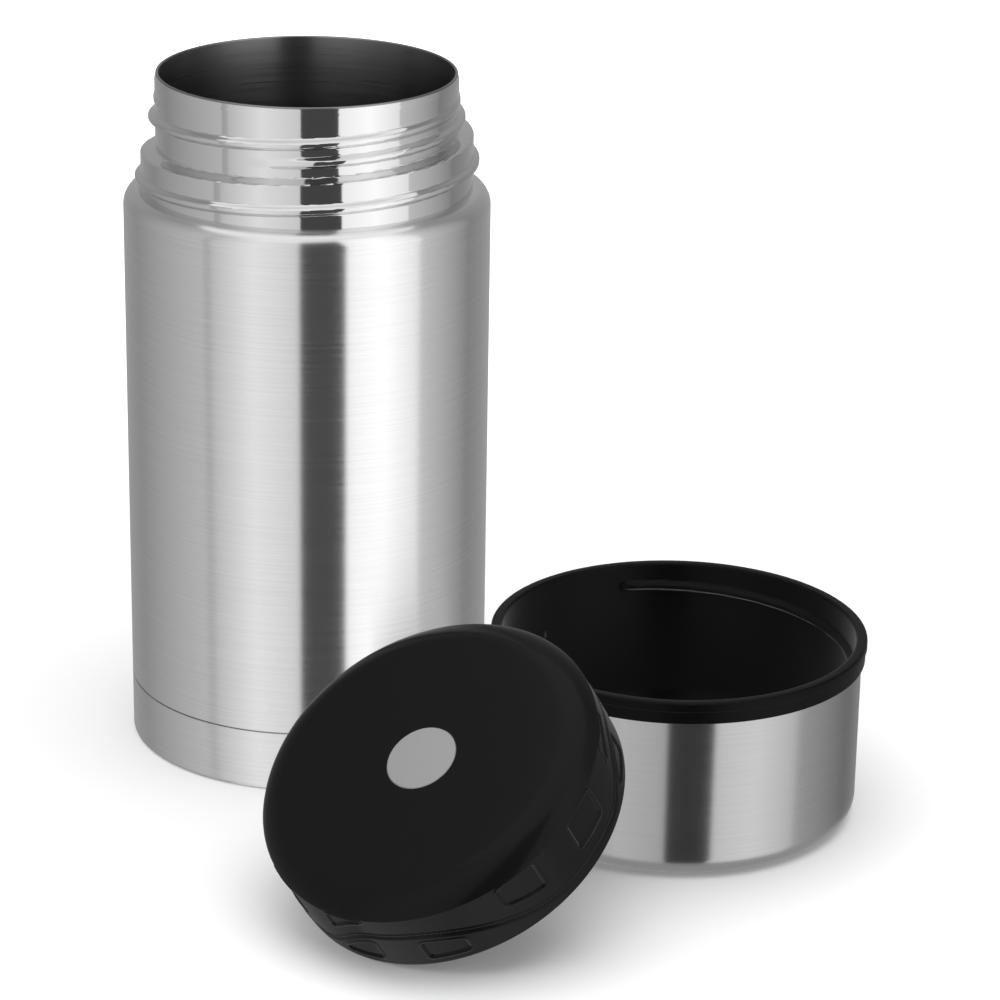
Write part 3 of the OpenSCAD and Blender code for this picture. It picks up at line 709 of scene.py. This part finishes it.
def pocket(bottom, top, wanted):
    """How far inside the rounded outline of a pocket a spot is; far outside where none is wanted."""
    far_out = 99
    past_low = value(tree, "SUBTRACT", value(tree, "ADD", bottom, corner), height)
    past_high = value(tree, "SUBTRACT", value(tree, "ADD", height, corner), top)
    past_z = value(tree, "MAXIMUM", value(tree, "MAXIMUM", past_low, past_high), 0)
    squares = value(tree, "ADD", value(tree, "POWER", past_x, 2), value(tree, "POWER", past_z, 2))
    depth_in = value(tree, "SUBTRACT", corner, value(tree, "SQRT", squares))
    return value(tree, "ADD", depth_in, value(tree, "MULTIPLY_ADD", wanted, far_out, -far_out))


not_second = value(tree, "ABSOLUTE", value(tree, "SUBTRACT", place_in_wave, 1))
not_second = value(tree, "GREATER_THAN", not_second, 0.5)
first_two = value(tree, "LESS_THAN", place_in_wave, 1.5)
upper = pocket(value(tree, "ADD", line, size["Over the line"]), size["Pocket top"], not_second)
lower = pocket(size["Pocket bottom"], value(tree, "SUBTRACT", line, size["Under the line"]), first_two)
inside = value(tree, "MAXIMUM", upper, lower)
sunk = value(tree, "MULTIPLY", smooth_step(tree, inside, 0.0, 0.4), size["Pocket depth"])
rim = value(tree, "MULTIPLY", smooth_step(tree, inside, -0.9, -0.5),
    value(tree, "SUBTRACT", 1, smooth_step(tree, inside, -0.3, 0.1)))
out = value(tree, "MULTIPLY_ADD", crest, size["Line height"], size["Radius"])
out = value(tree, "SUBTRACT", out, value(tree, "MULTIPLY", groove, size["Groove depth"]))
out = value(tree, "SUBTRACT", out, sunk)
out = value(tree, "MULTIPLY_ADD", rim, size["Rim height"], out)
wrap_grid(tree, mesh, angle, out, height, black_cap, output)
skirt = grown("skirt", tree, SKIRT)
skirt.transform(stopper_at)
outline = bend(stopper_r - crown_w, stopper_h - crown_bend, crown_bend, crown_from, 90, 16)
outline += [(30, stopper_h), (20, stopper_h), (well_r + 0.2, stopper_h), (well_r, stopper_h - 0.2),
    (well_r, well_floor), (stem_hole, well_floor), (stem_hole, well_under), (well_out, well_under),
    (well_out, top_in), (snap_in, top_in), (snap_in, snap_low), (snap_r, snap_low), (snap_r, ceiling),
    (skirt_in, ceiling), (skirt_in, 10), (skirt_in, 1), (skirt_in + 0.3, 0.15), (edge_r - 0.8, 0)]
outline += bend(edge_r, edge_round, edge_round, -90, 0, 6)
cap = lathe(outline, turns=cap_turns, place=stopper_at, closed=False)
cap.from_mesh(skirt)
bmesh.ops.remove_doubles(cap, verts=cap.verts, dist=weld_distance)
cap = finish_mesh("stopper", cap, [black_cap], crease=24)
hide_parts("stopper_cap")
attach(cap, "stopper")
cap.visible_glossy = False


# ---- Vent button: grey moulded disc with a short skirt, in the stopper's well ----
# It is pushed on to its stem, stands just under the cap's face and slides down when pressed.
grey = matt("grey_button", (0.22, 0.22, 0.224), 0.45, 0.05, 1800, 0.3)
top = stopper_h - 0.2
button_under = top - 1.6
button_in = button_r - 1.2
button_low = 20.5
button_edge = 0.3
outline = [(0, button_under), (button_in, button_under), (button_in, button_low), (button_r, button_low),
    (button_r, top - button_edge)]
outline += bend(button_r - button_edge, top - button_edge, button_edge, 0, 90, 4) + [(0, top)]
button = finish_mesh("button", lathe(outline, turns=128, place=stopper_at), [grey])
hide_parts("vent_button")
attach(button, "vent")
button.visible_glossy = False


# ---- Vent spring: steel wire wound under the button, with closer turns at both ends ----
# It stands on the floor of the well and carries the button.
wire_r = 0.3
spring_steel = matt("spring_steel", (0.55, 0.55, 0.56), 0.25, 0.05, 800, 0.1)
COIL = {"Points": 193, "Turns": 4, "Radius": 5.6, "Wire radius": wire_r, "Low": well_floor + play + wire_r,
    "High": button_under - play - wire_r, "Flat turns": 0.5, "Flat share": 0.12}
tree, size, output = rule_tree("wound_wire", COIL)
points = tree.nodes.new("GeometryNodeMeshLine")
tree.links.new(size["Points"], points.inputs["Count"])
number = tree.nodes.new("GeometryNodeInputIndex").outputs[0]
along = value(tree, "DIVIDE", number, value(tree, "SUBTRACT", size["Points"], 1))
flat = value(tree, "DIVIDE", size["Flat turns"], size["Turns"])


def end_climb(travelled):
    """The climb of the closer turns at one end, at a share of the wire from that end."""
    share = value(tree, "DIVIDE", value(tree, "MINIMUM", travelled, flat), flat)
    return value(tree, "MULTIPLY", share, size["Flat share"])


slow = end_climb(along)
late = end_climb(value(tree, "SUBTRACT", 1, along))
middle = value(tree, "DIVIDE", value(tree, "SUBTRACT", along, flat), value(tree, "MULTIPLY_ADD", flat, -2, 1))
middle = value(tree, "MINIMUM", value(tree, "MAXIMUM", middle, 0), 1)
middle = value(tree, "MULTIPLY", middle, value(tree, "MULTIPLY_ADD", size["Flat share"], -2, 1))
climb = value(tree, "ADD", slow, middle)
climb = value(tree, "ADD", climb, value(tree, "SUBTRACT", size["Flat share"], late))
height = value(tree, "MULTIPLY_ADD", climb, value(tree, "SUBTRACT", size["High"], size["Low"]), size["Low"])
turned = value(tree, "MULTIPLY", value(tree, "MULTIPLY", along, size["Turns"]), tau)
wind = tree.nodes.new("GeometryNodeSetPosition")
tree.links.new(round_place(tree, turned, size["Radius"], height), wind.inputs["Position"])
section = tree.nodes.new("GeometryNodeCurvePrimitiveCircle")
section.inputs["Resolution"].default_value = 12
tree.links.new(value(tree, "MULTIPLY", size["Wire radius"], MM), section.inputs["Radius"])
wire = tree.nodes.new("GeometryNodeCurveToMesh")
tree.links.new(section.outputs[0], wire.inputs["Profile Curve"])
wire.inputs["Fill Caps"].default_value = True
chain(tree, points, wind, tree.nodes.new("GeometryNodeMeshToCurve"), wire)
hand_out(tree, wire, spring_steel, output)
coil = bmesh.new()
coil.from_mesh(grown("coil", tree, COIL))
coil.transform(stopper_at)
spring = finish_mesh("spring", coil, [spring_steel])
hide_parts("button_spring")
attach(spring, "stopper")
spring.visible_glossy = False
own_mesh(spring)


# ---- Under the stopper: plug, foam, gasket, stem, seal and clip ----
# The moulded plug snaps into the cap round its foam and holds the silicone gasket. The stem runs
# from the button through the plug, and the clip holds the seal on it. Their CAD shapes stay.
black_plug = matt("black_plug", (0.02, 0.02, 0.021), 0.4, 0.2, 1500, 0.2)
silicone = matt("silicone", (0.05, 0.05, 0.052), 0.55, 0.1, 1200, 0.2)
foam = matt("foam", (0.85, 0.83, 0.75), 0.9, 0.1, 1400, 0.8)
for node, material in (("plug_shell", black_plug), ("plug_foam", foam), ("main_gasket", silicone),
        ("valve_stem", black_plug), ("valve_seal", silicone), ("stem_clip", spring_steel)):
    dress(node, material)
    frame["nodes"][node].visible_glossy = False
